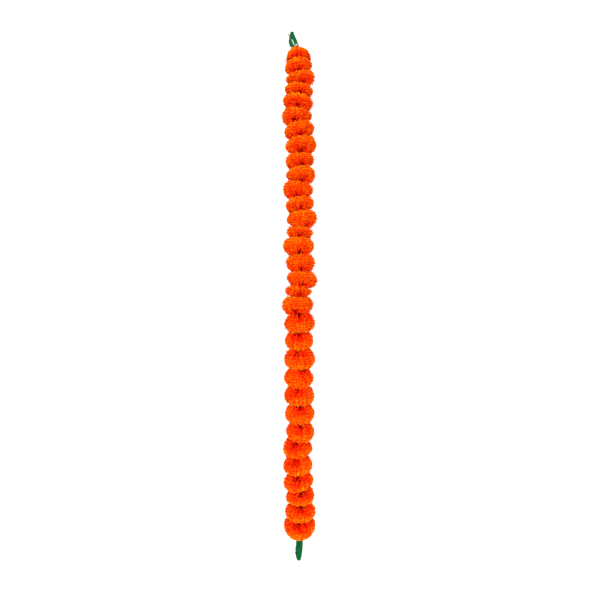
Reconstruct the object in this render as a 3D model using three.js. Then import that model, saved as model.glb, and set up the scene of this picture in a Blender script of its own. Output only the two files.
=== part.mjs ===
// A garland of orange fabric marigolds threaded on a green twisted cord, lying on a flat surface.
// Millimetres, +Z up. The cord runs along Y, with the upper end at +Y. The origin is on the surface,
// under the middle of the row of blooms.
import * as THREE from 'three';

// The cord
const cordDiameter = 8; // through the blooms, where it is squeezed
const loopDiameter = 9.6;
const cordHeight = 35; // of the cord's middle above the surface
const cordSides = 8;
const holeClearance = 0.5; // between the cord and the hole of a bloom
const upperHoleShift = -12; // the upper end of the cord leans to the left by this much
const bloomsThatLeanWithIt = 2;

// The blooms
const petalLayers = 5; // cloth discs along a bloom
const sidesOfBloom = 20; // a petal tip and a notch each take one
const faceGap = 0.3; // between two neighbours
const pressedMouth = 0.72; // radius of a face pressed on its neighbour, as a share of the bloom's
const freeMouth = 0.5; // the same for the outer faces of the first and last bloom
const domeShare = 0.88; // these two are domes over this share of their length, at most
const grooveDepth = 8.5; // between two layers
const notchDepth = 4; // between two petal tips of a layer
const tipSpread = 2.4; // the longest petal tips stand this much over the shortest
const ruffle = 1.4; // sideways wave of a layer's edge
const settle = 0.35; // share of its extra radius by which a large bloom's middle rises
const dimpleDepth = 14;
const dimpleDepthShare = 0.28; // of the bloom's length, at most, on a pressed face
const dimpleRadius = 11; // at this share of the depth:
const dimpleRingShare = 0.43;
const frontLean = 4; // the faces lean this many degrees to the front and back in turn
const flatFrom = 28; // degrees from straight down: nearer than this the petals are pressed flat
const flatTo = 52; // and further away than this they stand free

// Each bloom from the top down: its length along the cord, its width, how far its middle stands to
// the right of the cord, and how many degrees its lower face climbs to the right.
const blooms = [
  { along: 38, across: 71, aside: -2.8, lean: 3.6 },
  { along: 35.5, across: 77, aside: -2.8, lean: 11 },
  { along: 35, across: 82, aside: 2.8, lean: -3.6 },
  { along: 32, across: 80, aside: -1.4, lean: -6 },
  { along: 37, across: 86, aside: -4.3, lean: -6 },
  { along: 40, across: 85, aside: -7.1, lean: 8 },
  { along: 41, across: 84, aside: -0.3, lean: 7 },
  { along: 45.5, across: 87, aside: 4, lean: 0 },
  { along: 40, across: 81.5, aside: 1.4, lean: 7 },
  { along: 40, across: 83, aside: 3.4, lean: -7 },
  { along: 44, across: 86, aside: -4, lean: 5 },
  { along: 40, across: 80, aside: 1.4, lean: 8 },
  { along: 42.5, across: 86, aside: 7.1, lean: -5 },
  { along: 32.5, across: 75.5, aside: 1.1, lean: 0 },
  { along: 45.5, across: 88.5, aside: -2.8, lean: 1 },
  { along: 48.5, across: 83, aside: 2.6, lean: -1 },
  { along: 42.5, across: 86, aside: 7.1, lean: -7 },
  { along: 28.5, across: 76.5, aside: -2.8, lean: 0 },
  { along: 48.5, across: 89, aside: -5.6, lean: 5 },
  { along: 51, across: 88.5, aside: -0.3, lean: 1 },
  { along: 48.5, across: 80, aside: -1.4, lean: -1 },
  { along: 55.5, across: 88, aside: 0, lean: 1 },
  { along: 50, across: 83, aside: -2.3, lean: 0 },
  { along: 51, across: 85.5, aside: -1.1, lean: -1 },
  { along: 52.5, across: 83, aside: 0.3, lean: 1 },
  { along: 48.5, across: 80, aside: 1.4, lean: -5 },
  { along: 47, across: 83, aside: -6, lean: 5 },
  { along: 47, across: 82.5, aside: -5.7, lean: 0 },
  { along: 44, across: 83.5, aside: -3.1, lean: 9 },
  { along: 42, across: 80.5, aside: 1.1, lean: 0 },
  { along: 43, across: 86, aside: 1.7, lean: 0 },
  { along: 59.5, across: 89, aside: 0, lean: 0 },
];

// The stop knots, as depths below the outer face of the bloom that they sit in
const knotFoot = 12.2;
const knotTop = 4.95;
const knotRadius = 8.9;
const partGap = 0.3; // between two pieces that touch

// The loops. Each leaves its knot side by side, sinks to the surface and turns over on its edge there.
const upperLoopRoute = [
  [-17.1, 693.8, 35], [-17.3, 697, 34.9], [-20.3, 701.1, 33.7], [-23.1, 706.2, 30.3],
  [-24.5, 712.8, 25.6], [-25.6, 718.8, 17.9], [-25.9, 724.8, 9.8], [-25.2, 731.8, 4.9],
  [-23.8, 739.6, 9], [-22, 743.8, 17.5], [-20.4, 740, 26.4], [-18.4, 732, 30.9],
  [-15.2, 722, 33.6], [-12, 712.5, 35.7], [-9.1, 704.5, 36.3], [-7.2, 697, 35.2], [-7, 693.8, 35],
];
const lowerLoopRoute = [
  [-5.1, -693.6, 35], [-5, -697, 35], [-5, -702.5, 34.6], [-5.2, -710.5, 31.6],
  [-5.7, -719, 25.5], [-6.4, -728.5, 16.7], [-6.8, -738, 8.9], [-6.6, -748, 4.9],
  [-5.5, -757, 9], [-3.4, -761, 17.5], [-1.2, -757.4, 26.4], [0.6, -749, 31],
  [2.4, -738, 33.2], [3.6, -727, 34.6], [4.5, -716, 35.5], [4.9, -706, 35.5],
  [5, -697, 35], [5.1, -693.6, 35],
];
const loopSteps = 22;

// The thread at the foot of the upper loop's right leg
const bindingPoint = 14; // of the upper loop's route
const bindingLength = 4;
const bindingTurns = 2;
const threadDiameter = 1.8;
const threadRoute = [
  [-16.5, 706.2, 38.8], [-18.9, 711.1, 36.6], [-20.9, 717.6, 31], [-22.7, 724.4, 24],
  [-25.4, 732.8, 15.9], [-28.4, 738.8, 12.9], [-30.9, 742.4, 11.6], [-32.6, 745.2, 11],
];
const threadSteps = 10;

const petalCloth = { color: 0xf94d03, roughness: 0.85, metalness: 0 };
const greenCord = { color: 0x0c7342, roughness: 0.75, metalness: 0 };
const paleThread = { color: 0xb9b4ae, roughness: 0.7, metalness: 0 };

const degrees = Math.PI / 180;
const smoothstep = THREE.MathUtils.smoothstep;
const lerp = THREE.MathUtils.lerp;

// The faces between the blooms, from the upper end down: their height on the cord and their slopes.
const rowLength = blooms.reduce((sum, bloom) => sum + bloom.along, 0);
const faces = [{ y: rowLength / 2, slopeX: 0, slopeZ: 0 }];
blooms.forEach((bloom, index) => {
  const last = index === blooms.length - 1;
  faces.push({
    y: faces[index].y - bloom.along,
    slopeX: Math.tan(bloom.lean * degrees),
    slopeZ: last ? 0 : Math.tan(frontLean * degrees) * Math.cos(2.4 * index),
  });
});

// The cord is straight up to the blooms that lean with its upper end.
const bendStart = faces[bloomsThatLeanWithIt].y;
const upperCordEnd = faces[0].y - knotFoot - partGap;
const lowerCordEnd = faces[blooms.length].y + knotFoot + partGap;

function cordX(y) {
  const share = THREE.MathUtils.clamp((y - bendStart) / (upperCordEnd - bendStart), 0, 1);
  return upperHoleShift * share;
}

function faceY(face, x, z) {
  return face.y + face.slopeX * x + face.slopeZ * (z - cordHeight);
}

function namedMesh(name, geometry, finish) {
  const mesh = new THREE.Mesh(geometry, new THREE.MeshStandardMaterial(finish));
  mesh.name = name;
  return mesh;
}

// Rings of a bloom round the cord, from the hole at its lower face, out over the layers and back in.
// s is the place between the lower face (-1) and the upper face (1), sink the depth below that face,
// and pull is how far the ring's middle has moved from the hole (0) to the bloom's middle (1).
function bloomRings(bloom, lowerFree, upperFree) {
  const pressedDepth = Math.min(dimpleDepth, bloom.along * dimpleDepthShare);
  const lowerDepth = lowerFree ? dimpleDepth : pressedDepth;
  const upperDepth = upperFree ? dimpleDepth : pressedDepth;
  const rings = [
    { kind: 'hole', s: -1, sink: lowerDepth, pull: 0 },
    { kind: 'dimple', s: -1, sink: lowerDepth * dimpleRingShare, pull: lowerFree ? 0.1 : 0.4 },
  ];
  for (let layer = 0; layer < petalLayers; layer += 1) {
    const s = -1 + (2 * layer) / (petalLayers - 1);
    const onFreeFace = (layer === 0 && lowerFree) || (layer === petalLayers - 1 && upperFree);
    rings.push({ kind: 'petals', s, sink: 0, pull: onFreeFace ? 0.1 : 1, layer });
    if (layer < petalLayers - 1) {
      rings.push({ kind: 'groove', s: s + 1 / (petalLayers - 1), sink: 0, pull: 1 });
    }
  }
  rings.push({ kind: 'dimple', s: 1, sink: upperDepth * dimpleRingShare, pull: upperFree ? 0.1 : 0.4 });
  rings.push({ kind: 'hole', s: 1, sink: upperDepth, pull: 0 });
  return rings;
}

// A bloom is turned round the cord from a plain profile, and then each point is moved: the layers'
// edges run from petal tip to notch and wave sideways, the grooves sink in between them, the side that
// lies on the surface is pressed flat, and both faces follow their leaning planes.
function bloomGeometry(bloom, index, random) {
  const upper = faces[index];
  const lower = faces[index + 1];
  const upperFree = index === 0;
  const lowerFree = index === blooms.length - 1;
  const rings = bloomRings(bloom, lowerFree, upperFree);
  const radius = bloom.across / 2;
  const smallest = Math.min(...blooms.map((each) => each.across)) / 2;
  const middleZ = cordHeight + settle * (radius - smallest);
  const holeRadius = cordDiameter / 2 + holeClearance;

  // The widest place is halfway, but in a dome as far below the free face as the dome is high.
  const domeHeight = Math.min(radius, domeShare * bloom.along);
  const shift = 1 - (2 * domeHeight) / bloom.along;
  const widest = upperFree ? shift : lowerFree ? -shift : 0;
  const outlineRadius = (s) => {
    const free = s < widest ? lowerFree : upperFree;
    const mouth = free ? freeMouth : pressedMouth;
    const share = s < widest ? (s - widest) / (1 + widest) : (s - widest) / (1 - widest);
    return radius * Math.sqrt(1 - (1 - mouth * mouth) * share * share);
  };

  const points = [];
  for (const ring of rings) {
    for (let side = 0; side < sidesOfBloom; side += 1) {
      const angle = (side / sidesOfBloom) * 2 * Math.PI;
      const fromBelow = Math.abs(side / sidesOfBloom - 0.5) * 360;
      const relief = smoothstep(fromBelow, flatFrom, flatTo);
      let reach = ring.kind === 'hole' ? holeRadius : dimpleRadius;
      let s = ring.s;
      if (ring.kind === 'petals' || ring.kind === 'groove') {
        const tip = (side + ring.layer + index) % 2 === 0;
        const spread = random() * tipSpread;
        const cut = ring.kind === 'groove' ? grooveDepth : tip ? spread : notchDepth + spread;
        const inner = ring.layer > 0 && ring.layer < petalLayers - 1;
        const wave = ring.kind === 'petals' && inner ? (2 * ruffle) / bloom.along : 0;
        reach = outlineRadius(s) - cut * relief * (outlineRadius(s) / radius);
        s += (tip ? wave : -wave) * relief;
      }
      points.push({ ring, s, x: reach * Math.sin(angle), z: reach * Math.cos(angle) });
    }
  }

  // The petals' reach to the left and right is made exactly half the bloom's width.
  const right = radius / Math.max(...points.map((point) => point.x));
  const left = radius / Math.max(...points.map((point) => -point.x));
  for (const point of points) {
    const ring = point.ring;
    const nearUpper = point.s > 0;
    const face = nearUpper ? upper : lower;
    const faceSide = nearUpper ? -1 : 1;
    const holeX = cordX(face.y + faceSide * ring.sink);
    const widen = ring.pull === 1 ? (point.x > 0 ? right : left) : 1;
    point.x = lerp(holeX, bloom.aside, ring.pull) + point.x * widen;
    point.z = Math.max(0, lerp(cordHeight, middleZ, ring.pull) + point.z);
    const lowerY = faceY(lower, point.x, point.z) + (lowerFree ? 0 : faceGap / 2);
    const upperY = faceY(upper, point.x, point.z) - (upperFree ? 0 : faceGap / 2);
    point.y = lerp(lowerY, upperY, (point.s + 1) / 2) + faceSide * ring.sink;
  }

  const profile = rings.map((ring) => new THREE.Vector2(1, ring.s));
  profile.push(profile[0].clone());
  const geometry = new THREE.LatheGeometry(profile, sidesOfBloom);
  const position = geometry.getAttribute('position');
  for (let turn = 0; turn <= sidesOfBloom; turn += 1) {
    for (let row = 0; row <= rings.length; row += 1) {
      const point = points[(row % rings.length) * sidesOfBloom + (turn % sidesOfBloom)];
      position.setXYZ(turn * (rings.length + 1) + row, point.x, point.y, point.z);
    }
  }
  geometry.computeVertexNormals();
  return geometry;
}

// A tube along a route: a regular polygon carried along a smooth curve through the points.
function tubeGeometry(route, diameter, steps) {
  const section = new THREE.Shape();
  for (let side = 0; side < cordSides; side += 1) {
    const angle = (side / cordSides) * 2 * Math.PI;
    const x = (diameter / 2) * Math.cos(angle);
    const y = (diameter / 2) * Math.sin(angle);
    if (side === 0) {
      section.moveTo(x, y);
    } else {
      section.lineTo(x, y);
    }
  }
  section.closePath();
  const curve = new THREE.CatmullRomCurve3(route.map((point) => new THREE.Vector3(...point)));
  return new THREE.ExtrudeGeometry(section, { steps, bevelEnabled: false, extrudePath: curve });
}

// The backbone is turned, and its upper end is carried sideways with the holes of the leaning blooms.
function backboneGeometry() {
  const radius = cordDiameter / 2;
  const heights = [lowerCordEnd, bendStart, upperCordEnd];
  const profile = [
    new THREE.Vector2(0, lowerCordEnd),
    ...heights.map((height) => new THREE.Vector2(radius, height)),
    new THREE.Vector2(0, upperCordEnd),
  ];
  const geometry = new THREE.LatheGeometry(profile, 12);
  const position = geometry.getAttribute('position');
  for (let index = 0; index < position.count; index += 1) {
    position.setX(index, position.getX(index) + cordX(position.getY(index)));
    position.setZ(index, position.getZ(index) + cordHeight);
  }
  return geometry;
}

// A stop knot: a short round bundle, narrow where it sits on the hole, flat where the loop leaves it.
function knotGeometry(direction) {
  const faceHeight = direction * faces[0].y;
  const profile = [
    [0, knotFoot], [4.7, knotFoot], [7.5, 9], [knotRadius, 6.8], [8.8, knotTop], [0, knotTop],
  ].map(([radius, depth]) => new THREE.Vector2(radius, faceHeight - direction * depth));
  if (direction < 0) {
    profile.reverse();
  }
  const geometry = new THREE.LatheGeometry(profile, 12);
  geometry.translate(direction > 0 ? upperHoleShift : 0, 0, cordHeight);
  return geometry;
}

// The thread binding: a sleeve of round turns about the leg of the loop.
function bindingGeometry() {
  const inside = loopDiameter / 2 + 2.6 * partGap;
  const half = bindingLength / 2;
  const turnLength = bindingLength / bindingTurns;
  const profile = [new THREE.Vector2(inside, -half)];
  for (let turn = 0; turn < bindingTurns; turn += 1) {
    const start = -half + turn * turnLength;
    profile.push(new THREE.Vector2(inside + threadDiameter * 0.45, start + turnLength * 0.08));
    profile.push(new THREE.Vector2(inside + threadDiameter * 0.7, start + turnLength * 0.5));
  }
  profile.push(new THREE.Vector2(inside + threadDiameter * 0.45, half - turnLength * 0.08));
  profile.push(new THREE.Vector2(inside, half));
  profile.push(profile[0].clone());
  const geometry = new THREE.LatheGeometry(profile, 12);
  const before = new THREE.Vector3(...upperLoopRoute[bindingPoint - 1]);
  const after = new THREE.Vector3(...upperLoopRoute[bindingPoint + 1]);
  const leg = before.sub(after).normalize();
  const upright = new THREE.Vector3(0, 1, 0);
  geometry.applyQuaternion(new THREE.Quaternion().setFromUnitVectors(upright, leg));
  geometry.translate(...upperLoopRoute[bindingPoint]);
  return geometry;
}

// Small repeatable draws for the lengths of the petal tips.
function seededRandom(seed) {
  let state = seed;
  return () => {
    state = (state * 1664525 + 1013904223) % 4294967296;
    return state / 4294967296;
  };
}

const garland = new THREE.Group();
const random = seededRandom(32);
blooms.forEach((bloom, index) => {
  const name = `bloom_${String(index + 1).padStart(2, '0')}`;
  garland.add(namedMesh(name, bloomGeometry(bloom, index, random), petalCloth));
});
garland.add(namedMesh('backbone_cord', backboneGeometry(), greenCord));
garland.add(namedMesh('top_knot', knotGeometry(1), greenCord));
garland.add(namedMesh('bottom_knot', knotGeometry(-1), greenCord));
garland.add(namedMesh('top_loop', tubeGeometry(upperLoopRoute, loopDiameter, loopSteps), greenCord));
garland.add(namedMesh('bottom_loop', tubeGeometry(lowerLoopRoute, loopDiameter, loopSteps), greenCord));
garland.add(namedMesh('thread_binding', bindingGeometry(), paleThread));
garland.add(namedMesh('thread_tail', tubeGeometry(threadRoute, threadDiameter, threadSteps), paleThread));

export default garland;
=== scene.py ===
import math
import bpy
import numpy as np
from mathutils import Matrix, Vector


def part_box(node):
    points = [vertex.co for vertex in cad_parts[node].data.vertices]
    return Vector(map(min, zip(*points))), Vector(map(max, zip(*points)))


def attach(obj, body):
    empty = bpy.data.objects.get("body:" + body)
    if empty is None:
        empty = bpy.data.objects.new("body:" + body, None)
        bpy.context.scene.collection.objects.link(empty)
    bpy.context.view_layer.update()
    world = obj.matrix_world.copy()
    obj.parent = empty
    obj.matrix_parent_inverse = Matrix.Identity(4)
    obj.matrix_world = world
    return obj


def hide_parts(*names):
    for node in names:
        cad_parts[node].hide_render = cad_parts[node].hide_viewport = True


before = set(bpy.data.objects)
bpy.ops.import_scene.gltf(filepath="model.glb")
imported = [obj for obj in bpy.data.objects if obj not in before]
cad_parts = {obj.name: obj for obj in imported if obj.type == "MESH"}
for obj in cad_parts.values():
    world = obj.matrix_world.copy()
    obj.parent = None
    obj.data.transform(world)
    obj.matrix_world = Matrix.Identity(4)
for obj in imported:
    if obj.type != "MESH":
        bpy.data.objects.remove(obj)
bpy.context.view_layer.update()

mm = 0.001
bloomCount = 32
floorGap = 0.05               # mm, nothing comes nearer to the floor
anyStart = 6.3                # radians, where a wave may start at random: within one turn
anyHalfStart = 3.1            # and within half a turn
print("frame loaded")


# Camera, light and floor

view = {
    "halfPicture": 300,           # pixels, half of the photograph
    "pixelsAway": 656,            # distance to the cord, in the same pixels
    "mmPerPixel": 2.84,           # at the cord's height
    "middle": (0.0014, -0.0199),  # X and Y that the camera stands over
    "cordHeight": 0.035,
    "lamp": 2.35,                 # watts per square metre, from the upper edge of the picture
    "lampTurn": (-12, -8),        # degrees about X and Y from straight down
    "lampSoftness": 30,           # degrees across
    "lampColour": (1.0, 0.97, 0.90),
    "sky": 1.35,
    "skyColour": (1.0, 0.92, 0.88, 1),
    "floorGlow": 0.85,            # so that the background is as white as in the photograph
    "floorSize": 9.0,
    "floorColour": (0.3, 0.3, 0.3, 1),
    "floorRoughness": 0.9,
    "floorShine": 0.1,
}
cordZ = view["cordHeight"] / mm


def makeCameraAndLight():
    away = view["pixelsAway"] * view["mmPerPixel"] * mm
    lens = bpy.data.cameras.new("camera")
    lens.angle = 2 * math.atan(view["halfPicture"] / view["pixelsAway"])
    camera = bpy.data.objects.new("camera", lens)
    camera.location = (*view["middle"], view["cordHeight"] + away)
    bpy.context.collection.objects.link(camera)
    bpy.context.scene.camera = camera

    softbox = bpy.data.lights.new("softbox", "SUN")
    softbox.energy = view["lamp"]
    softbox.angle = math.radians(view["lampSoftness"])
    softbox.color = view["lampColour"]
    lamp = bpy.data.objects.new("softbox", softbox)
    lamp.rotation_euler = (*np.radians(view["lampTurn"]), 0)
    bpy.context.collection.objects.link(lamp)

    world = bpy.data.worlds.new("studio")
    world.use_nodes = True
    background = world.node_tree.nodes["Background"]
    background.inputs["Color"].default_value = view["skyColour"]
    background.inputs["Strength"].default_value = view["sky"]
    bpy.context.scene.world = world
    bpy.context.scene.view_settings.view_transform = "Standard"


def makeFloor():
    half = view["floorSize"] / 2
    corners = [(-half, -half, 0), (half, -half, 0), (half, half, 0), (-half, half, 0)]
    mesh = bpy.data.meshes.new("floor")
    mesh.from_pydata(corners, [], [(0, 1, 2, 3)])
    floor = bpy.data.objects.new("floor", mesh)
    bpy.context.collection.objects.link(floor)
    paint = newMaterial("paleFloor")
    shader = paint.node_tree.nodes["Principled BSDF"]
    shader.inputs["Base Color"].default_value = view["floorColour"]
    shader.inputs["Roughness"].default_value = view["floorRoughness"]
    shader.inputs["Specular IOR Level"].default_value = view["floorShine"]
    shader.inputs["Emission Color"].default_value = (1, 1, 1, 1)
    shader.inputs["Emission Strength"].default_value = view["floorGlow"]
    mesh.materials.append(paint)


# Materials

def newMaterial(name):
    material = bpy.data.materials.new(name)
    material.use_nodes = True
    return material


def addNode(tree, kind, settings=None, **values):
    node = tree.nodes.new(kind)
    for key, value in (settings or {}).items():
        setattr(node, key, value)
    for key, value in values.items():
        node.inputs[key.replace("_", " ")].default_value = value
    return node


def colourRamp(tree, stops):
    ramp = tree.nodes.new("ShaderNodeValToRGB")
    while len(ramp.color_ramp.elements) < len(stops):
        ramp.color_ramp.elements.new(0.5)
    for element, (place, colour) in zip(ramp.color_ramp.elements, stops):
        element.position = place
        element.color = (*colour, 1)
    return ramp


petalFinish = {
    "colours": [                        # each with the painted tone, from 0 to 1, at which the cloth has it
        (0.0, (0.07, 0.0006, 0.0003)),  # painted shade in the holes
        (0.12, (0.71, 0.0004, 0.0)),    # painted shade deep in the folds
        (0.48, (0.74, 0.074, 0.0)),     # on the cloth
        (0.85, (0.71, 0.215, 0.0005)),  # painted highlight near its edges
    ],
    "shadeNoiseScale": 55.0,                   # per metre, of wide redder and yellower patches of painted shade and light
    "shadeNoiseContrast": (0.38, 0.62),
    "shadeNoiseRange": (0.68, 1.24),           # what a full tone becomes in them
    "patchScale": 130.0,                # and of small pale patches of painted highlight
    "patchContrast": (0.45, 0.75),
    # colour of the painted highlight patches
    "pale": (0.80, 0.37, 0.002),
    "weavePitch": 0.0011,               # metres between threads
    "weaveDepth": 0.00012,
    "weaveStrength": 0.35,
    "weaveUneven": 0.6,
    "roughness": 0.88,
    "shine": 0.03,
}


def petalMaterial():
    finish = petalFinish
    material = newMaterial("petalCloth")
    tree = material.node_tree
    link = tree.links.new
    shader = tree.nodes["Principled BSDF"]
    shader.inputs["Roughness"].default_value = finish["roughness"]
    shader.inputs["Specular IOR Level"].default_value = finish["shine"]
    place = addNode(tree, "ShaderNodeTexCoord")

    # painted light and shade: the tone in the mesh's own toneAndShade attribute, which wide random patches
    # of painted shade and light move up and down from the holes' tone
    toneAndShade = addNode(tree, "ShaderNodeAttribute", {"attribute_name": "toneAndShade"})
    shadeNoise = addNode(tree, "ShaderNodeTexNoise", Scale=finish["shadeNoiseScale"], Detail=1.0)
    link(place.outputs["Object"], shadeNoise.inputs["Vector"])
    shadeNoiseFrom, shadeNoiseTo = finish["shadeNoiseContrast"]
    shadeNoiseLow, shadeNoiseHigh = finish["shadeNoiseRange"]
    shadeNoiseRange = addNode(tree, "ShaderNodeMapRange", From_Min=shadeNoiseFrom, From_Max=shadeNoiseTo,
                       To_Min=shadeNoiseLow, To_Max=shadeNoiseHigh)
    link(shadeNoise.outputs["Fac"], shadeNoiseRange.inputs["Value"])
    holeTone = finish["colours"][1][0]
    noiseShaded = addNode(tree, "ShaderNodeMapRange", {"clamp": False}, From_Min=holeTone, To_Min=holeTone)
    link(toneAndShade.outputs["Fac"], noiseShaded.inputs["Value"])
    link(shadeNoiseRange.outputs["Result"], noiseShaded.inputs["To Max"])
    shades = colourRamp(tree, finish["colours"])
    link(noiseShaded.outputs["Result"], shades.inputs["Fac"])

    # painted highlight: pale patches, the stronger the higher the tone
    patches = addNode(tree, "ShaderNodeTexNoise", Scale=finish["patchScale"], Detail=3.0)
    link(place.outputs["Object"], patches.inputs["Vector"])
    patchFrom, patchTo = finish["patchContrast"]
    patchRange = colourRamp(tree, [(patchFrom, (0, 0, 0)), (patchTo, (1, 1, 1))])
    link(patches.outputs["Fac"], patchRange.inputs["Fac"])
    strength = addNode(tree, "ShaderNodeMath", {"operation": "MULTIPLY"})
    link(patchRange.outputs["Color"], strength.inputs[0])
    link(toneAndShade.outputs["Fac"], strength.inputs[1])
    mix = addNode(tree, "ShaderNodeMix", {"data_type": "RGBA"})
    mix.inputs["B"].default_value = (*finish["pale"], 1)
    link(shades.outputs["Color"], mix.inputs["A"])
    link(strength.outputs["Value"], mix.inputs["Factor"])
    link(mix.outputs["Result"], shader.inputs["Base Color"])

    # plain weave: two crossed sets of fine threads along the cloth's own directions, where the
    # node's waves are 2 pi / 20 apart at a scale of one
    scale = 2 * math.pi / 20 / finish["weavePitch"]
    both = addNode(tree, "ShaderNodeMath", {"operation": "ADD"})
    for number, direction in enumerate(("X", "Y")):
        threads = addNode(tree, "ShaderNodeTexWave", {"bands_direction": direction},
                          Scale=scale, Distortion=finish["weaveUneven"], Detail=1.0)
        link(place.outputs["UV"], threads.inputs["Vector"])
        link(threads.outputs["Fac"], both.inputs[number])
    bump = addNode(tree, "ShaderNodeBump", Strength=finish["weaveStrength"], Distance=finish["weaveDepth"])
    link(both.outputs["Value"], bump.inputs["Height"])
    link(bump.outputs["Normal"], shader.inputs["Normal"])
    return material


yarnFinish = {
    "green": {"dark": (0.0, 0.014, 0.004), "light": (0.0, 0.16, 0.042),
              "stripes": (3.0, 700.0), "roughness": 0.62},
    "pale": {"dark": (0.045, 0.085, 0.055), "light": (0.44, 0.405, 0.38),
             "stripes": (2.0, 1500.0), "roughness": 0.55},
    "tones": (0.1, 0.85),  # at which the yarn is dark, painted shade included, and is light
    "stripeTone": 0.35,    # how much a stripe adds to the tone
    "stripeWander": 1.2,
    "fibreScale": 900.0,   # per metre
    "reliefStrength": 0.5,
    "reliefDepth": 0.0003,
    "shine": 0.04,
}


def cordMaterial(name, yarn):
    # Yarns run slantwise over the strands: stripes of u and v, each times its number in "stripes",
    # where u goes round the cord with the strands and v is the length along it in metres.
    finish = yarnFinish
    material = newMaterial(name)
    tree = material.node_tree
    link = tree.links.new
    shader = tree.nodes["Principled BSDF"]
    shader.inputs["Roughness"].default_value = yarn["roughness"]
    shader.inputs["Specular IOR Level"].default_value = finish["shine"]
    place = addNode(tree, "ShaderNodeTexCoord")
    scaled = addNode(tree, "ShaderNodeMapping", Scale=(*yarn["stripes"], 1))
    link(place.outputs["UV"], scaled.inputs["Vector"])
    stripes = addNode(tree, "ShaderNodeTexWave", {"bands_direction": "DIAGONAL"},
                      Scale=1.0, Distortion=finish["stripeWander"], Detail=2.0)
    link(scaled.outputs["Vector"], stripes.inputs["Vector"])
    fibres = addNode(tree, "ShaderNodeTexNoise", Scale=finish["fibreScale"], Detail=2.0)
    link(place.outputs["Object"], fibres.inputs["Vector"])
    blend = addNode(tree, "ShaderNodeMath", {"operation": "MULTIPLY_ADD"})
    blend.inputs[1].default_value = finish["stripeTone"]
    link(stripes.outputs["Fac"], blend.inputs[0])
    link(fibres.outputs["Fac"], blend.inputs[2])
    # painted shade from the mesh's tone attribute, in the creases between strands
    toneAndShade = addNode(tree, "ShaderNodeAttribute", {"attribute_name": "toneAndShade"})
    tone = addNode(tree, "ShaderNodeMath", {"operation": "MULTIPLY"})
    link(blend.outputs["Value"], tone.inputs[0])
    link(toneAndShade.outputs["Fac"], tone.inputs[1])
    darkTone, lightTone = finish["tones"]
    shades = colourRamp(tree, [(darkTone, yarn["dark"]), (lightTone, yarn["light"])])
    link(tone.outputs["Value"], shades.inputs["Fac"])
    link(shades.outputs["Color"], shader.inputs["Base Color"])
    bump = addNode(tree, "ShaderNodeBump", Strength=finish["reliefStrength"],
                   Distance=finish["reliefDepth"])
    link(blend.outputs["Value"], bump.inputs["Height"])
    link(bump.outputs["Normal"], shader.inputs["Normal"])
    return material


# Meshes from grids

def gridPiece(name, points, uv, toneAndShade, material, closedRows):
    # A closed surface from a grid of points (rows x columns x 3): the columns go round, and the rows
    # either close on themselves too, or end in flat caps. uv is (rows + 1) x (columns + 1) x 2.
    rows, columns = points.shape[:2]
    lastRow = rows if closedRows else rows - 1
    row, column = np.meshgrid(np.arange(lastRow), np.arange(columns), indexing="ij")
    row, column = row.ravel(), column.ravel()
    nextRow, nextColumn = (row + 1) % rows, (column + 1) % columns
    quads = np.stack([row * columns + column, row * columns + nextColumn,
                      nextRow * columns + nextColumn, nextRow * columns + column], axis=1)
    corners = np.stack([uv[row, column], uv[row, column + 1], uv[row + 1, column + 1],
                        uv[row + 1, column]], axis=1)

    # the sign of the volume tells whether the faces point outwards
    flat = points.reshape(-1, 3)
    a, b, c, d = (flat[quads[:, k]] for k in range(4))
    volume = np.einsum("ij,ij->", a, np.cross(b, c)) + np.einsum("ij,ij->", a, np.cross(c, d))
    if volume < 0:
        quads, corners = quads[:, ::-1], corners[:, ::-1]
    faces = quads.tolist()
    if not closedRows:
        first = list(range(columns))
        last = list(range((rows - 1) * columns, rows * columns))
        faces.append(first if volume < 0 else first[::-1])
        faces.append(last[::-1] if volume < 0 else last)

    mesh = bpy.data.meshes.new(name)
    mesh.from_pydata(flat.tolist(), [], faces)
    loopUv = np.zeros((len(mesh.loops), 2))
    loopUv[:len(corners) * 4] = corners.reshape(-1, 2)
    mesh.uv_layers.new(name="cloth").data.foreach_set("uv", loopUv.ravel())
    mesh.attributes.new("toneAndShade", "FLOAT", "POINT").data.foreach_set("value", toneAndShade.ravel())
    mesh.polygons.foreach_set("use_smooth", np.ones(len(mesh.polygons), dtype=bool))
    mesh.materials.append(material)
    mesh.update()
    piece = bpy.data.objects.new(name, mesh)
    bpy.context.collection.objects.link(piece)
    return piece


def smoothStep(value, low, high):
    # 3 s^2 - 2 s^3, where s goes from 0 at low to 1 at high.
    share = np.clip((value - low) / (high - low), 0, 1)
    return share * share * (3 - 2 * share)


def lengthAlong(line):
    # How far each point is from the first, along the line through all of them.
    return np.concatenate([[0], np.cumsum(np.linalg.norm(np.diff(line, axis=0), axis=1))])


# Blooms

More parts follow.
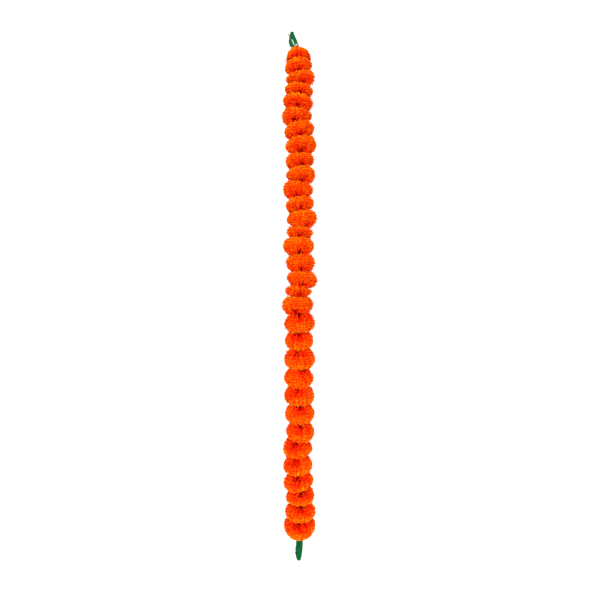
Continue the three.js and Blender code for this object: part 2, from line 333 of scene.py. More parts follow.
# Each bloom's length along the cord in mm, how many degrees its lower face climbs to the right,
# and in its open face the place of the dark gap by which the hole shows, in degrees to the right of
# straight up, and the size of that gap. The open face is the one towards the middle of the row.
bloomRow = [
    (38, 3.6, -12, 0.35), (35.5, 11, -10, 0.4), (35, -3.6, 26, 0.7), (32, -6, 10, 0.8),
    (37, -6, -3, 0.8), (40, 8, -16, 0.8), (41, 7, 5, 0.9), (45.5, 0, 4, 1.1),
    (40, 7, 14, 0.5), (40, -7, 10, 0.6), (44, 5, -10, 0.5), (40, 8, 3, 0.9),
    (42.5, -5, 44, 0.9), (32.5, 0, 0, 0.7), (45.5, 1, 8, 1.0), (48.5, -1, 13, 1.0),
    (42.5, -7, 5, 0.7), (28.5, 0, 12, 0.3), (48.5, 5, -16, 0.9), (51, 1, 0, 0.9),
    (48.5, -1, -3, 0.9), (55.5, 1, -16, 0.5), (50, 0, 40, 0.7), (51, -1, -14, 0.7),
    (52.5, 1, 8, 1.0), (48.5, -5, 5, 1.1), (47, 5, -10, 1.2), (47, 0, -20, 0.8),
    (44, 9, -8, 1.2), (42, 0, 2, 1.1), (43, 0, 5, 1.0), (59.5, 0, -2, 1.1),
]
lastOpenBelow = 19            # from the next bloom on, the upper face is the open one

# Lengths are in mm, and angles in radians where no note says otherwise. A pair is from and to, or
# what its note says.
petals = {
    # the row
    "sunkTop": 2.8,             # how far the outer faces of the row stay inside the model's
    "sunkBottom": 0.6,
    "frontLean": 4.0,           # degrees that faces lean to the front and back in turn
    "frontTurn": 2.4,           # how much further on in that turn each face is than the one before
    "lowerLean": 6.0,           # degrees that the lower faces all lean to the front besides
    "lowerLeanFrom": (18, 23),  # from none under the first of these blooms to all under the second
    "upperHoleShift": -12.0,    # how far the cord goes sideways at its upper end
    "upperHoleLevel": 12.5,     # which it does by this far below the upper face
    "faceGap": 0.1,
    "faceWaves": [              # across a face: how high, how fast to the right and to the front, and
        (1.6, 0.36, 0.1, 2.1),  # how far on from face to face
        (0.96, 0.7, -0.3, 3.7),
    ],

    # layers on the outside
    "columns": 144,        # points round a bloom
    "layerPitch": 3.6,     # between two layers
    "finHeight": 6.5,      # how far the layers stand out of the core
    "faceStand": 0.15,     # share of it that they stand out less at the faces
    "fan": 0.8,            # how far they fan out to the slant of the outline
    "flank": 0.62,         # where a layer's side has a ring of points, from foot to edge
    "edge": 0.7,           # thickness of the cloth's edge
    "pressedMouth": 0.67,  # a face pressed on its neighbour, as a share of the radius
    "freeMouth": 0.34,     # the outer faces of the first and last bloom
    "domeShare": 0.88,     # which are domes over this share of their length, at most

    # layers inside the dimple of a face, down to the hole
    "pressedInner": 2,            # how many there are in a pressed face
    "freeInner": 3,               # and in an outer one
    "dimpleDepth": 9.0,
    "dimpleShare": 0.07,          # depth on a pressed face, as a share of the bloom's length
    "dimpleCurve": 1.4,           # the depth grows with the way in to this power
    "dimpleSlant": (62, 20),      # degrees that a layer slants at the lip, and how many more at the hole
    "dimpleStand": (0.75, 0.35),  # share of finHeight at the lip, and how much less at the hole
    "holeRadius": 4.6,
    "innerEdge": 3.0,             # how far from the hole their row ends,
    "innerGap": 0.6,              # this share of their pitch past the last of them
    "innerFoot": 2.0,             # how far from it the feet on either side are,
    "leastFoot": 1.5,             # and any foot, at least
    "holeWall": 1.0,              # how far in from the dimple the hole's wall starts

    # pleats, petals and creases
    "uneven": (0.02, 0.09),        # each of the waves that make the angle round a bloom uneven
    "unevenCounts": (2, 3, 5, 7),  # and how many of each go round
    "pleats": (22, 27),            # round a layer, at least, and fewer than
    "pleatDrift": 0.8,             # how far they drift from layer to layer, at most
    "pleatWave": 1.9,              # how far a pleat waves to either side
    "pleatSize": (0.75, 0.45),     # share of that on average, and how it changes round a layer
    "pleatSizeCount": 3,           # times round it
    "pleatVary": (0.75, 1.2),      # and from layer to layer
    "ribs": 1.9,                   # how far shared pleats stand out
    "ribTurn": 0.6,
    "lobes": (10, 14),             # petals round a layer, at least, and fewer than
    "lobeDepth": 2.5,
    "pinking": 0.45,               # zigzag cut of the edge
    "longer": (-1.2, 0.6),         # how much longer a whole layer is
    "gores": (7, 10),              # deeper creases from hole to hole, shared by all layers
    "goreDepth": 3.6,
    "goreDrift": 0.25,             # share of the pleats' drift
    "gorePower": 0.35,
    "goreLeast": 0.15,             # what is left of them away from the open face
    "goreRange": (-0.3, 0.5),      # heights between which they deepen, as a share of half the bloom
    "tierPitch": 8.4,              # between rings of longer petals
    "tierDepth": 1.7,
    "tierWander": (0.3, 0.9),      # each of the waves that such a ring wanders by
    "tierCounts": (2, 3, 5, 8),
    "spread": 0.8,                 # how far all petals stand over the model's outline
    "longest": 2.0,                # and how far any petal does, at most
    "lipFill": 0.85,               # share that notches are filled by at the lips of a face
    "lipReach": (7, 1),            # from this far inside the face, to this far
    "lipSides": (0.5, 0.85),       # on the left and right, from this sine of the angle to this
    "smallest": 0.35,              # share of its size that all this has near the hole, at least
    "rise": 1.7,                   # it grows from foot to edge with this power

    # the open face
    "dish": 0.42,            # how far it dips towards the hole, round the gap
    "dishTurn": 0.8,         # how wide the dip is
    "dishReach": (18.0, 0),  # from this far inside the face, to this far
    "gapDepth": 0.85,
    "gapWidth": 0.13,
    "leastGap": 0.5,         # smaller gaps are as wide as one of this size
    "gapReach": (15, 6),     # the first of these for a gap of size one
    "streaks": 7,            # creases that run from the hole over the face, in half a turn
    "streakUneven": 1.5,
    "streakDrift": 0.6,      # share of the pleats' drift
    "streakPower": 0.7,
    "creaseShare": 0.8,      # depth of the creases, as a share of the deepest pit's
    "pits": 15,              # pits between its petals, round each layer
    "pitEdge": (0.3, 0.8),   # of the sine that gives their places
    "pitSize": (0.3, 1.0),
    "streakDepth": 0.45,     # of creases and pits
    "fanTurn": (0.9, 1.1),   # how far they reach to either side, in the upper and lower blooms
    "fanReach": (28.0, 7),

    # in place on the cord and the floor
    "usualRadius": 35.5,  # such a bloom lies round the cord's own height
    "settle": 0.35,       # and larger ones higher, by this share of their radius above it
    "freeRoom": 2.0,      # how far petals may pass an outer face
    "pullFrom": 4.0,      # the rings' middles move sideways from this far outside the hole
    "pullTo": 0.7,        # to this share of the radius
    "press": 3.0,         # over which the petals on the floor are squeezed together
    "pressReach": 6.0,    # height under which they are let down again a little

    # tones of painted light and shade, for the colours of petalFinish
    "tone": 0.575,
    "ribHighlight": 0.17,               # painted highlight on the ribs
    "tierHighlight": 0.14,              # painted highlight on the rings of longer petals
    "notchShade": 0.18,             # painted shade in the notches
    "goreShade": 0.5,               # painted shade in the gores
    "layerTone": 0.09,             # either way, from layer to layer
    "rimHighlight": (0.06, 0.0),        # painted highlight by the other face, in the upper and lower blooms
    "rimReach": (10, 3),
    "footPower": 3.5,              # how fast painted shade darkens a layer from its edge to its foot
    "dishShade": 0.72,
    "streakShade": 0.95,
    "shadow": (0.1, 0.15),         # of the neighbour on an open face, in the upper and lower blooms
    "shadowReach": (13, 3),
    "middleShadow": (0.0, 0.5),    # and one that reaches further in, round the gap
    "middleTurn": 0.7,
    "middleReach": (32, 18),
    "middleCreases": (0.35, 1.5),  # share of it between the creases, and how much more in them
    "shadowDepth": 0.5,            # how far the shadow goes below the folds' tone
    "gapShade": 0.95,
    "pitShade": 0.8,
    "pitShadeFrom": (0.25, 0.7),   # how deep a crease or pit is where it gets darker still

    # cloth coordinates
    "clothRadius": 0.85,  # where they are true to size, as a share of the radius
    "clothSeam": 10.0,    # length of cloth along the hole

    "seed": 32,
}


def bloomFaces():
    # Height on the cord and slopes of the 33 faces between and outside the blooms, in mm.
    lengths = np.array([bloom[0] for bloom in bloomRow])
    leans = np.radians([0] + [bloom[1] for bloom in bloomRow])
    heights = lengths.sum() / 2 - np.concatenate([[0], np.cumsum(lengths)])
    above = np.arange(bloomCount + 1)                       # number of the bloom above each face
    front = np.tan(np.radians(petals["frontLean"])) * np.cos(petals["frontTurn"] * (above - 1))
    front -= np.tan(np.radians(petals["lowerLean"])) * smoothStep(above, *petals["lowerLeanFrom"])
    front[[0, -1]] = 0
    heights[0] -= petals["sunkTop"]
    heights[-1] += petals["sunkBottom"]
    return heights, np.tan(leans), front


faceHeights, faceSlopeX, faceSlopeZ = bloomFaces()


def cordShift(y):
    # How far the cord has moved sideways at height y: it leans only at its upper end.
    start = faceHeights[2]
    end = faceHeights[0] - petals["upperHoleLevel"]
    return petals["upperHoleShift"] * np.clip((y - start) / (end - start), 0, 1)


def faceAt(face, x, z):
    # Height of a face at x and z: h + a x + b (z - c) and, between blooms, the sum of its waves,
    # each s sin(p x + q z + r times the face's number).
    height = faceHeights[face] + faceSlopeX[face] * x + faceSlopeZ[face] * (z - cordZ)
    if face in (0, bloomCount):
        return height
    return height + sum(size * np.sin(right * x + front * z + on * face)
                        for size, right, front, on in petals["faceWaves"])


def layerProfile(length, radius, lowerFree, upperFree):
    # Edges of the layers from the lower hole out and round to the upper hole: their radius, height,
    # slant and how far they stand out. The outline is r = R sqrt(1 - (1 - m^2) t^2), with t from 0 at
    # the widest place to 1 at the face, where r = m R.
    half = length / 2
    sides = []
    for side, free in ((-1, lowerFree), (1, upperFree)):
        mouth = petals["freeMouth"] if free else petals["pressedMouth"]
        depth = petals["dimpleDepth"] if free else petals["dimpleShare"] * length
        inner = petals["freeInner"] if free else petals["pressedInner"]
        share = (np.arange(inner) + 1) / (inner + petals["innerGap"])      # 0 at the lip, 1 at the hole
        r = mouth * radius + (petals["holeRadius"] + petals["innerEdge"] - mouth * radius) * share
        y = side * (half - depth * share ** petals["dimpleCurve"])
        atLip, more = petals["dimpleSlant"]
        slant = side * np.radians(atLip + more * share)
        atLip, less = petals["dimpleStand"]
        stand = petals["finHeight"] * (atLip - less * share)
        sides.append((r, y, slant, stand, mouth, depth))
    lower, upper = sides

    s = np.linspace(-1, 1, round(length / petals["layerPitch"]) + 1)
    shift = 1 - 2 * min(radius, petals["domeShare"] * length) / length
    widest = shift if upperFree else -shift if lowerFree else 0
    mouth = np.where(s < widest, lower[4], upper[4])
    room = np.where(s < widest, 1 + widest, 1 - widest)
    t = (s - widest) / room
    r = radius * np.sqrt(1 - (1 - mouth ** 2) * t ** 2)
    slant = petals["fan"] * np.arctan2((1 - mouth ** 2) * t / (half * room), r / radius ** 2)
    stand = petals["finHeight"] * (1 - petals["faceStand"] * t ** 2)
    outside = (r, s * half, slant, stand)
    profile = [np.concatenate([lower[k][::-1], outside[k], upper[k]]) for k in range(4)]
    return profile, (lower[5], upper[5])


def layerRings(profile, depths, half):
    # Rings of points from hole to hole, five for each layer: its foot, one flank, both sides of its
    # edge and the other flank. Each has a radius, a height, its share of the way out from foot to
    # edge, a slant and its layer's number. The feet lie on the core, midway between two layers.
    r, y, slant, stand = profile
    layers = len(r)
    hole, flank, wall = petals["holeRadius"], petals["flank"], petals["holeWall"]
    footR = r - stand * np.cos(slant)
    footY = y - stand * np.sin(slant)
    innermost = [hole + petals["innerFoot"]]
    betweenR = np.concatenate([innermost, (footR[1:] + footR[:-1]) / 2, innermost])
    betweenR = np.maximum(betweenR, hole + petals["leastFoot"])
    betweenY = np.concatenate([[-half + depths[0]], (footY[1:] + footY[:-1]) / 2, [half - depths[1]]])
    backR, backY, nextR, nextY = betweenR[:-1], betweenY[:-1], betweenR[1:], betweenY[1:]
    thickR = petals["edge"] / 2 * np.sin(slant)
    thickY = petals["edge"] / 2 * np.cos(slant)
    layerR = [backR, backR + (r - backR) * flank + thickR, r + thickR, r - thickR,
              nextR + (r - nextR) * flank - thickR]
    layerY = [backY, backY + (y - backY) * flank - thickY, y - thickY, y + thickY,
              nextY + (y - nextY) * flank + thickY]
    out = [0, flank, 1, 1, flank]
    ringR = np.concatenate([[hole], np.stack(layerR, axis=1).ravel(), [betweenR[-1], hole]])
    ringY = np.concatenate([[-half + depths[0] + wall], np.stack(layerY, axis=1).ravel(),
                            [betweenY[-1], half - depths[1] - wall]])
    ringOut = np.concatenate([[0], np.tile(out, layers), [0, 0]])
    ringSlant = np.concatenate([[0], np.repeat(slant, len(out)), [0, 0]])
    ringLayer = np.concatenate([[0], np.repeat(np.arange(layers), len(out)), [layers - 1, layers - 1]])
    return ringR, ringY, ringOut, ringSlant, ringLayer


def pleatFold(angle, sharpness=0.94):
    # A wave with pressed folds: arcsin(k sin a), scaled to between -1 and 1.
    return np.arcsin(sharpness * np.sin(angle)) / np.arcsin(sharpness)


def wavesRound(rng, theta, sizes, counts):
    # The sum of a sine for each whole number of waves round the bloom, of a random size and start.
    return sum(rng.uniform(*sizes) * np.sin(count * theta + rng.uniform(0, anyStart)) for count in counts)


def insideFace(height, half, reach):
    # A smooth step from 0 at reach[0] mm inside a face to 1 at reach[1] mm inside it.
    return smoothStep(height, half - reach[0], half - reach[1])


def bell(angle, width):
    # A bell round the bloom, exp(-(a / w)^2), where a is the angle from its middle.
    return np.exp(-(angle / width) ** 2)[None, :]


def petalWaves(rng, theta, profile, radius, half, openSide):
    # How far each layer's edge waves to the side and reaches out all round, and its tone there with
    # painted highlight and shade, with the uneven angle w and the layers' drift that they share.
    r, y = profile[:2]
    layers = len(r)
    uneven = wavesRound(rng, theta, petals["uneven"], petals["unevenCounts"])
    w = (theta + uneven)[None, :]

    # pleats: sin(m w + p) along each layer, with p drifting between layers
    pleats = rng.integers(*petals["pleats"])
    drift = np.cumsum(rng.uniform(-petals["pleatDrift"], petals["pleatDrift"], layers))[:, None]
    phase = pleats * w + drift
    usual, change = petals["pleatSize"]
    turn = petals["pleatSizeCount"] * theta[None, :]
    size = usual + change * np.sin(turn + rng.uniform(0, anyStart, layers)[:, None])
    size *= rng.uniform(*petals["pleatVary"], layers)[:, None]
    sway = petals["pleatWave"] * size * pleatFold(phase)
    rib = np.cos(phase + petals["ribTurn"])

    # petals: round lobes with sharp notches, sqrt|sin(n w / 2 + q)|, and a zigzag cut
    lobes = rng.integers(*petals["lobes"], layers)[:, None]
    lobe = np.sqrt(np.abs(np.sin(lobes * w / 2 + rng.uniform(0, anyStart, layers)[:, None])))
    zigzag = petals["pinking"] * (-1.0) ** np.arange(petals["columns"])[None, :]
    longer = rng.uniform(*petals["longer"], layers)[:, None]

    # gores: |sin(g w / 2 + p)|^k, deepest on the open face
    gores = rng.integers(*petals["gores"])
    creases = gores * w / 2 + rng.uniform(0, anyHalfStart) + petals["goreDrift"] * drift
    start, end = petals["goreRange"]
    least = petals["goreLeast"]
    deepen = least + (1 - least) * smoothStep(y * openSide, start * half, end * half)[:, None]
    gore = 1 - deepen * (1 - np.abs(np.sin(creases)) ** petals["gorePower"])

    # tiers: a cosine of the way over the outline, from hole to hole, that wanders round the bloom
    wander = wavesRound(rng, theta, petals["tierWander"], petals["tierCounts"])
    travelled = lengthAlong(np.stack([r, y], axis=1))
    tier = np.cos(2 * np.pi * travelled[:, None] / petals["tierPitch"] + wander[None, :])

    # what stands out is held to m tanh(x / m), and notches at the lips of a face are filled
    reach = (petals["spread"] + zigzag + longer + petals["ribs"] * rib + petals["tierDepth"] * tier
             - petals["lobeDepth"] * (1 - lobe) - petals["goreDepth"] * (1 - gore))
    most = petals["longest"]
    reach = np.where(reach > 0, most * np.tanh(reach / most), reach)
    lips = insideFace(np.abs(y), half, petals["lipReach"])[:, None]
    lips = lips * smoothStep(np.abs(np.sin(theta)), *petals["lipSides"])
    reach *= 1 - petals["lipFill"] * lips * (reach < 0)
    small = np.clip(r / radius, petals["smallest"], 1)[:, None]

    # painted highlight on ribs and rings of longer petals, painted shade in notches and gores
    tone = (petals["tone"] + petals["ribHighlight"] * rib + petals["tierHighlight"] * tier
            - petals["notchShade"] * (1 - lobe) - petals["goreShade"] * (1 - gore))
    return sway * small, reach * small, tone, uneven, drift


def openFace(rng, theta, height, half, ringLayer, uneven, drift, away, gapSize, group):
    # Dish, gap, and creases with pits, each from 0 to 1. They are bells round the gap's place, times
    # a step from inside the bloom to its open face. The creases are 1 - |sin(n w + p)|^k.
    layers = len(drift)
    dish = bell(away, petals["dishTurn"]) * insideFace(height, half, petals["dishReach"])
    wedge = bell(away, petals["gapWidth"] * max(gapSize, petals["leastGap"]))
    gapStart, gapEnd = petals["gapReach"]
    gap = min(gapSize, 1) * wedge * insideFace(height, half, (gapStart * gapSize, gapEnd))
    creases = petals["streaks"] * (theta + petals["streakUneven"] * uneven)[None, :]
    creases = creases + rng.uniform(0, anyHalfStart) + petals["streakDrift"] * drift[ringLayer]
    crease = 1 - np.abs(np.sin(creases)) ** petals["streakPower"]
    pits = petals["pits"] * (theta + uneven)[None, :] + rng.uniform(0, anyStart, layers)[:, None]
    pits = smoothStep(np.sin(pits), *petals["pitEdge"]) * rng.uniform(*petals["pitSize"], layers)[:, None]
    fan = bell(away, petals["fanTurn"][group]) * insideFace(height, half, petals["fanReach"])
    streak = fan * np.maximum(petals["creaseShare"] * crease, pits[ringLayer])
    return dish, gap, streak, crease


def petalTones(height, half, ringOut, tone, away, dish, gap, streak, crease, group):
    # Painted light and shade: the tone t of the edges becomes t u^n at a share u of the way out from a
    # layer's foot, painted shade towards the feet. Dish and creases darken it with painted shade. The
    # neighbour's painted shadow takes it down to the tone of the folds and past it, and in gaps and pits
    # painted shade goes on to that of the holes.
    toneAndShade = ringOut[:, None] ** petals["footPower"] * np.clip(tone, 0, 1)
    toneAndShade = toneAndShade * (1 - petals["dishShade"] * dish) * (1 - petals["streakShade"] * streak)
    shadow = petals["shadow"][group] * insideFace(height, half, petals["shadowReach"])
    between, more = petals["middleCreases"]
    shadow += (petals["middleShadow"][group] * bell(away, petals["middleTurn"])
               * insideFace(height, half, petals["middleReach"]) * (between + more * crease))
    shadow = np.clip(shadow, 0, 1)
    foldTone = petalFinish["colours"][1][0]
    toneAndShade = foldTone + (1 - foldTone) * toneAndShade * (1 - shadow)
    pit = smoothStep(streak, *petals["pitShadeFrom"])
    return (toneAndShade * (1 - petals["shadowDepth"] * shadow) * (1 - petals["gapShade"] * gap)
            * (1 - petals["pitShade"] * pit))


def bendOntoCord(number, theta, ringR, ringY, flatR, flatY, radius, middleX):
    # From radius and height in a straight bloom to its place. The middle of each ring moves from the
    # hole to the bloom's middle as it gets wider. The floor squeezes z to (z + sqrt(z^2 + p^2)) / 2,
    # less a quarter of p near it. Heights are spread between the two faces.
    above, below = number - 1, number
    middleZ = cordZ + petals["settle"] * (radius - petals["usualRadius"])
    pull = smoothStep(ringR, petals["holeRadius"] + petals["pullFrom"], petals["pullTo"] * radius)[:, None]
    holeX = cordShift((faceHeights[above] + faceHeights[below]) / 2 + ringY)[:, None]
    x = holeX + (middleX - holeX) * pull + flatR * np.sin(theta)
    z = cordZ + (middleZ - cordZ) * pull + flatR * np.cos(theta)
    press = petals["press"]
    z = (z + np.sqrt(z ** 2 + press ** 2)) / 2 - press / 4 * smoothStep(-z, -petals["pressReach"], 0)
    z = np.maximum(z, floorGap)
    low, high = faceAt(below, x, z), faceAt(above, x, z)
    length = faceHeights[above] - faceHeights[below]
    y = low + (high - low) * (flatY / length + 0.5)
    return np.stack([x, y, z], axis=-1) * mm


def makeBloom(number, material):
    rng = np.random.default_rng(petals["seed"] * 100 + number)
    length = faceHeights[number - 1] - faceHeights[number]
    half = length / 2
    low, high = (np.array(corner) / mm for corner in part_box(f"bloom_{number:02d}"))
    radius = (high[0] - low[0]) / 2
    middleX = (high[0] + low[0]) / 2
    lowerFree, upperFree = number == bloomCount, number == 1
    group = int(number > lastOpenBelow)                     # 0 for the upper blooms, 1 for the lower
    openSide = (-1, 1)[group]
    gapTurn, gapSize = bloomRow[number - 1][2:]
    theta = np.arange(petals["columns"]) * 2 * np.pi / petals["columns"]
    away = (theta - math.radians(gapTurn) + np.pi) % (2 * np.pi) - np.pi      # angle from the gap

    # layers, waved out of the rings
    profile, depths = layerProfile(length, radius, lowerFree, upperFree)
    ringR, ringY, ringOut, ringSlant, ringLayer = layerRings(profile, depths, half)
    sway, reach, tone, uneven, drift = petalWaves(rng, theta, profile, radius, half, openSide)
    rise = ringOut[:, None] ** petals["rise"]
    sway, grow = sway[ringLayer] * rise, reach[ringLayer] * rise
    cosine, sine = np.cos(ringSlant)[:, None], np.sin(ringSlant)[:, None]
    flatR = ringR[:, None] + grow * cosine - sway * sine
    flatY = ringY[:, None] + grow * sine + sway * cosine

    # the open face is cut in towards the hole
    height = flatY * openSide
    dish, gap, streak, crease = openFace(rng, theta, height, half, ringLayer, uneven, drift, away,
                                         gapSize, group)
    hole = petals["holeRadius"]
    for cut in (petals["dish"] * dish, petals["streakDepth"] * streak, petals["gapDepth"] * gap):
        flatR = flatR - cut * np.clip(flatR - hole, 0, None)
    flatR = np.maximum(flatR, hole)

    # pressed faces stay between their planes
    lowLimit, highLimit = (half + petals["freeRoom"] if free else half - petals["faceGap"] / 2
                           for free in (lowerFree, upperFree))
    flatY = np.clip(flatY, -lowLimit, highLimit)
    points = bendOntoCord(number, theta, ringR, ringY, flatR, flatY, radius, middleX)

    # cloth coordinates in metres, and tones of painted light and shade
    across = lengthAlong(np.stack([ringR, ringY], axis=1))
    across = np.append(across, across[-1] + petals["clothSeam"])
    around = np.linspace(0, 2 * np.pi, petals["columns"] + 1) * radius * petals["clothRadius"]
    uv = np.stack(np.broadcast_arrays(around[None, :], across[:, None]), axis=-1) * mm
    rim = insideFace(-profile[1] * openSide, half, petals["rimReach"])[:, None]
    tone += rng.uniform(-petals["layerTone"], petals["layerTone"], len(drift))[:, None]
    # painted highlight by the other face
    tone += petals["rimHighlight"][group] * rim
    toneAndShade = petalTones(height, half, ringOut, tone[ringLayer], away, dish, gap, streak, crease, group)
    piece = gridPiece(f"marigold_{number:02d}", points, uv, toneAndShade, material, closedRows=True)
    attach(piece, "root")
    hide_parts(f"bloom_{number:02d}")


# Cords

# The routes are in mm. The loops' stay within 1.4 mm of the model's and bend more gently, and the legs
# of the lower one lie against each other. The thread's starts a little lower, in its binding.
upperLoopRoute = [
    (-17.1, 693.8, 35), (-17.3, 697, 34.9), (-19.9, 701.6, 33.9), (-23.2, 706.2, 30.4),
    (-24.4, 713, 25.8), (-25.7, 718.8, 18), (-26, 723.7, 9.7), (-25.3, 731.9, 5.6),
    (-23.8, 739.9, 8.6), (-22, 743.7, 17.1), (-20.6, 739.9, 26.9), (-18.4, 731.8, 31.2),
    (-14.4, 722, 33.6), (-10.8, 712.6, 35.8), (-8.3, 704.5, 36.3), (-7, 697, 35.2), (-7, 693.8, 35),
]
lowerLoopRoute = [
    (-5, -693.6, 35), (-4.7, -697, 35), (-4.5, -702.4, 34.5), (-4.8, -710.4, 31.5),
    (-5.4, -719, 25.6), (-6.1, -728.5, 16.9), (-6.9, -736.6, 8.4), (-6.8, -747.9, 4.9),
    (-5.4, -757, 8.8), (-3.4, -760.8, 17.1), (-1.3, -757.9, 26.1), (0.6, -748.8, 31.8),
    (2.3, -737.9, 33.1), (3.3, -727, 34.7), (4.2, -716, 35.5), (4.5, -706, 35.5),
    (4.7, -697, 35), (5, -693.6, 35),
]
threadRoute = [
    (-14.8, 703.6, 37.4), (-16.5, 706.4, 38.4), (-18.9, 711.1, 36.6), (-20.9, 717.6, 31),
    (-22.7, 724.4, 24), (-25.4, 732.8, 15.9), (-28.4, 738.8, 12.9), (-30.9, 742.4, 11.6),
    (-32.6, 745.2, 11),
]
yarnEndRoute = [(-8, -746.5, 9), (-10, -748, 9), (-12, -749.4, 8), (-13.4, -750.4, 6.5)]

cords = {
    "backbone": 8.0,         # diameter through the blooms, where it is squeezed
    "loop": 9.6,             # and of the loops
    "threadDiameter": 1.8,
    "tailDiameter": 2.9,     # the loose end of the thread has opened
    "yarnEndDiameter": 3.0,  # a cut end of yarn beside the lower loop
    "step": 1.1,             # mm between two rings
    "hiddenStep": 3.3,       # inside the blooms
    "threadStep": 0.8,
    "finePoints": 24,        # points that a curve is worked out at, between two of its route
    "sides": 30,
    "threadSides": 10,

    "lay": 25.0,                # mm for one turn of a strand
    "strands": 3,
    "crease": 0.85,             # radius in the creases between strands, as a share of the cord's
    "swell": 1.16,              # the strands' crowns stand over the cord's mean thickness
    "endWidth": 0.5,            # of a rounded end, as a share of the cord's
    "endLength": 0.3,           # the rounding, as a share of the diameter
    "toneRange": (0.75, 0.95),  # shares of the radius between which painted shade goes from dark in the creases to light
    "tailFade": 20.0,           # mm along the tail, where its green and grubby end begins
    "fadeLength": 12.0,
    "fadeDepth": 0.8,

    "knotCord": 4.6,                    # thickness of the cord drawn tight in a knot
    "knotPoints": 130,
    "knotOpening": 0.2,                 # radians of the knot's curve left out at either end
    "bindingPoint": 14,                 # where it goes round the upper loop's route
    "bindingShift": (0.2, -2.4, -0.3),  # mm from there
    "bindingTurns": 4,
    "bindingPoints": 36,                # for each turn
    "bindingLength": 6.5,
    "bindingSeat": 0.4,                 # from the cord to the thread's middle, as a share of the thread
    "bindingSlack": 0.7,                # mm that its turns stand out of the cord
    "bindingUneven": 0.25,              # mm that the slack changes, and how fast it does round the leg
    "bindingRate": 1.7,
}


def smoothRoute(route, step):
    # A smooth curve through the points, p = ((2 b) + (c - a) t + (2 a - 5 b + 4 c - d) t^2
    # + (3 b - a - 3 c + d) t^3) / 2 between b and c, cut into even steps.
    points = np.array(route, dtype=float)
    ends = np.concatenate([[2 * points[0] - points[1]], points, [2 * points[-1] - points[-2]]])
    a, b, c, d = (ends[k:len(ends) - 3 + k, None, :] for k in range(4))
    t = np.linspace(0, 1, cords["finePoints"], endpoint=False)[None, :, None]
    dense = (2 * b + (c - a) * t + (2 * a - 5 * b + 4 * c - d) * t ** 2
             + (3 * b - a - 3 * c + d) * t ** 3) / 2
    dense = np.concatenate([dense.reshape(-1, 3), points[-1:]])
    travelled = lengthAlong(dense)
    places = np.linspace(0, travelled[-1], round(travelled[-1] / step) + 1)
    return np.stack([np.interp(places, travelled, dense[:, k]) for k in range(3)], axis=1), places


def strandSection(angle, strands):
    # Outline of round strands laid side by side in a circle: d cos a + sqrt(q^2 - d^2 sin^2 a).
    strand = np.sin(np.pi / strands) / (1 + np.sin(np.pi / strands))
    offset = 1 - strand
    pitch = 2 * np.pi / strands
    nearest = (angle + pitch / 2) % pitch - pitch / 2
    inside = np.clip(strand ** 2 - (offset * np.sin(nearest)) ** 2, 0, None)
    return np.maximum(offset * np.cos(nearest) + np.sqrt(inside), cords["crease"])


def cordPiece(name, line, places, diameter, material, across, twisted=True, fadeFrom=None):
    # A cord along a line: at each point p of it the ring p + r (s cos a + o sin a), with s and o at
    # right angles to the line and s also to the direction across. r is the section's, turned about
    # the line once for each lay, and narrows towards the ends.
    tangent = np.gradient(line, axis=0)
    tangent /= np.linalg.norm(tangent, axis=1, keepdims=True)
    side = np.cross(tangent, across)
    side /= np.linalg.norm(side, axis=1, keepdims=True)
    other = np.cross(tangent, side)
    sides = cords["sides"] if twisted else cords["threadSides"]
    angle = np.arange(sides) * 2 * np.pi / sides
    if twisted:
        turns = places / cords["lay"]
        share = strandSection(angle[None, :] - 2 * np.pi * turns[:, None], cords["strands"])
        swell = cords["swell"]
    else:
        turns = np.zeros(len(places))
        share = np.ones((len(places), sides))
        swell = 1
    fromEnd = np.minimum(places, places[-1] - places)
    rounding = smoothStep(fromEnd, 0, diameter * cords["endLength"])
    rounding = cords["endWidth"] + (1 - cords["endWidth"]) * rounding
    r = diameter / 2 * swell * share * rounding[:, None]
    points = (line[:, None, :] + r[..., None] * (np.cos(angle)[None, :, None] * side[:, None, :]
              + np.sin(angle)[None, :, None] * other[:, None, :]))
    points[..., 2] = np.maximum(points[..., 2], floorGap)
    around = (np.arange(sides + 1) / sides)[None, :] - turns[:, None]
    uv = np.stack([around, np.broadcast_to(places[:, None] * mm, around.shape)], axis=-1)
    # painted shade: darker in the creases between strands, lighter on their crowns
    toneAndShade = smoothStep(share, *cords["toneRange"])
    if fadeFrom is not None:
        fade = smoothStep(places, fadeFrom, fadeFrom + cords["fadeLength"])
        toneAndShade = toneAndShade * (1 - cords["fadeDepth"] * fade)[:, None]
    return gridPiece(name, points * mm, uv, toneAndShade, material, closedRows=False)


def makeLoop(name, node, route, material):
    line, places = smoothRoute(route, cords["step"])
    piece = cordPiece(name, line, places, cords["loop"], material, across=(1, 0, 0))
    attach(piece, "root")
    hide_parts(node)
    return piece, line, places


def makeBackbone(material):
    low, high = (np.array(corner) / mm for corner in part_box("backbone_cord"))
    y = np.arange(low[1], high[1], cords["hiddenStep"])
    line = np.stack([cordShift(y), y, np.full(len(y), cordZ)], axis=1)
    piece = cordPiece("backbone", line, y - y[0], cords["backbone"], material, across=(1, 0, 0))
    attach(piece, "root")
    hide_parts("backbone_cord")


def makeKnot(name, node, material):
    # An overhand knot, (sin t + 2 sin 2t, -sin 3t, cos t - 2 cos 2t), which is about 6 x 2 x 6,
    # pressed into the knot's box.
    low, high = (np.array(corner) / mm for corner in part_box(node))
    t = np.linspace(cords["knotOpening"], 2 * np.pi - cords["knotOpening"], cords["knotPoints"])
    curve = np.stack([np.sin(t) + 2 * np.sin(2 * t), -np.sin(3 * t), np.cos(t) - 2 * np.cos(2 * t)], axis=1)
    curveSize = np.array([6, 2, 6])
    line = (low + high) / 2 + curve * (high - low - cords["knotCord"]) / curveSize
    piece = cordPiece(name, line, lengthAlong(line), cords["knotCord"], material, across=(0, 1, 0))
    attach(piece, "root")
    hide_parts(node)


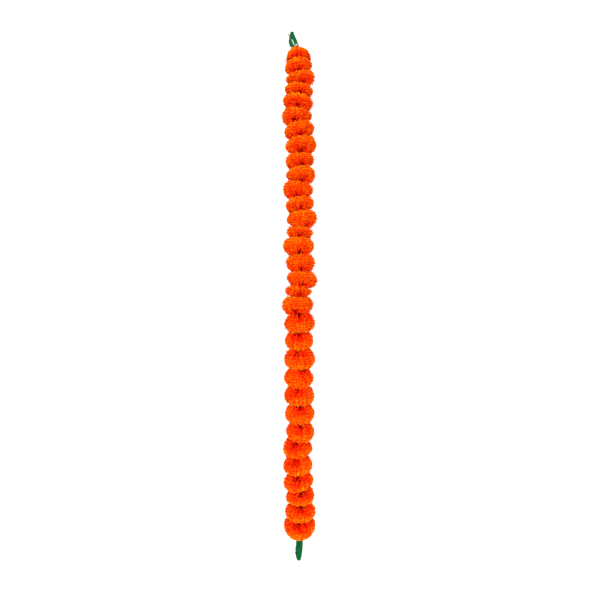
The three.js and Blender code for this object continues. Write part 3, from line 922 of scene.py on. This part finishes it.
def makeBinding(material):
    # Turns of thread round the leg: a helix p + l a + r (s cos t + o sin t) about its direction a.
    route = np.array(upperLoopRoute, dtype=float)
    middle = route[cords["bindingPoint"]] + cords["bindingShift"]
    leg = route[cords["bindingPoint"] - 1] - route[cords["bindingPoint"] + 1]
    leg /= np.linalg.norm(leg)
    side = np.cross(leg, (0, 0, 1))
    side /= np.linalg.norm(side)
    other = np.cross(leg, side)
    t = np.linspace(0, 2 * np.pi * cords["bindingTurns"], cords["bindingPoints"] * cords["bindingTurns"])
    seat = cords["threadDiameter"] * cords["bindingSeat"]
    radius = cords["loop"] / 2 + seat + cords["bindingSlack"]
    radius = radius + cords["bindingUneven"] * np.sin(cords["bindingRate"] * t)
    along = (t / t[-1] - 0.5) * (cords["bindingLength"] - seat)
    line = (middle + along[:, None] * leg
            + radius[:, None] * (np.cos(t)[:, None] * side + np.sin(t)[:, None] * other))
    piece = cordPiece("binding", line, lengthAlong(line), cords["threadDiameter"], material,
                      across=leg, twisted=False)
    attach(piece, "root")
    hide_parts("thread_binding")
    return piece


def makeTail(material):
    line, places = smoothRoute(threadRoute, cords["threadStep"])
    piece = cordPiece("threadTail", line, places, cords["tailDiameter"], material,
                      across=(1, 0, 0), twisted=False, fadeFrom=cords["tailFade"])
    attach(piece, "root")
    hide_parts("thread_tail")
    return piece, line, places


def makeYarnEnd(material):
    # It is dark from end to end.
    line, places = smoothRoute(yarnEndRoute, cords["threadStep"])
    piece = cordPiece("yarnEnd", line, places, cords["yarnEndDiameter"], material,
                      across=(0, 0, 1), twisted=False, fadeFrom=-cords["fadeLength"])
    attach(piece, "root")


# Put together

makeCameraAndLight()
makeFloor()
print("camera, light and floor made")

greenYarn = cordMaterial("greenYarn", yarnFinish["green"])
paleYarn = cordMaterial("paleYarn", yarnFinish["pale"])
topLoop, topLine, topPlaces = makeLoop("topLoop", "top_loop", upperLoopRoute, greenYarn)
bottomLoop, bottomLine, bottomPlaces = makeLoop("bottomLoop", "bottom_loop", lowerLoopRoute, greenYarn)
binding = makeBinding(paleYarn)
tail, tailLine, tailPlaces = makeTail(paleYarn)
makeBackbone(greenYarn)
makeKnot("topKnot", "top_knot", greenYarn)
makeKnot("bottomKnot", "bottom_knot", greenYarn)
makeYarnEnd(greenYarn)
print("cords made")

petalCloth = petalMaterial()
for number in range(1, bloomCount + 1):
    makeBloom(number, petalCloth)
print("blooms made")
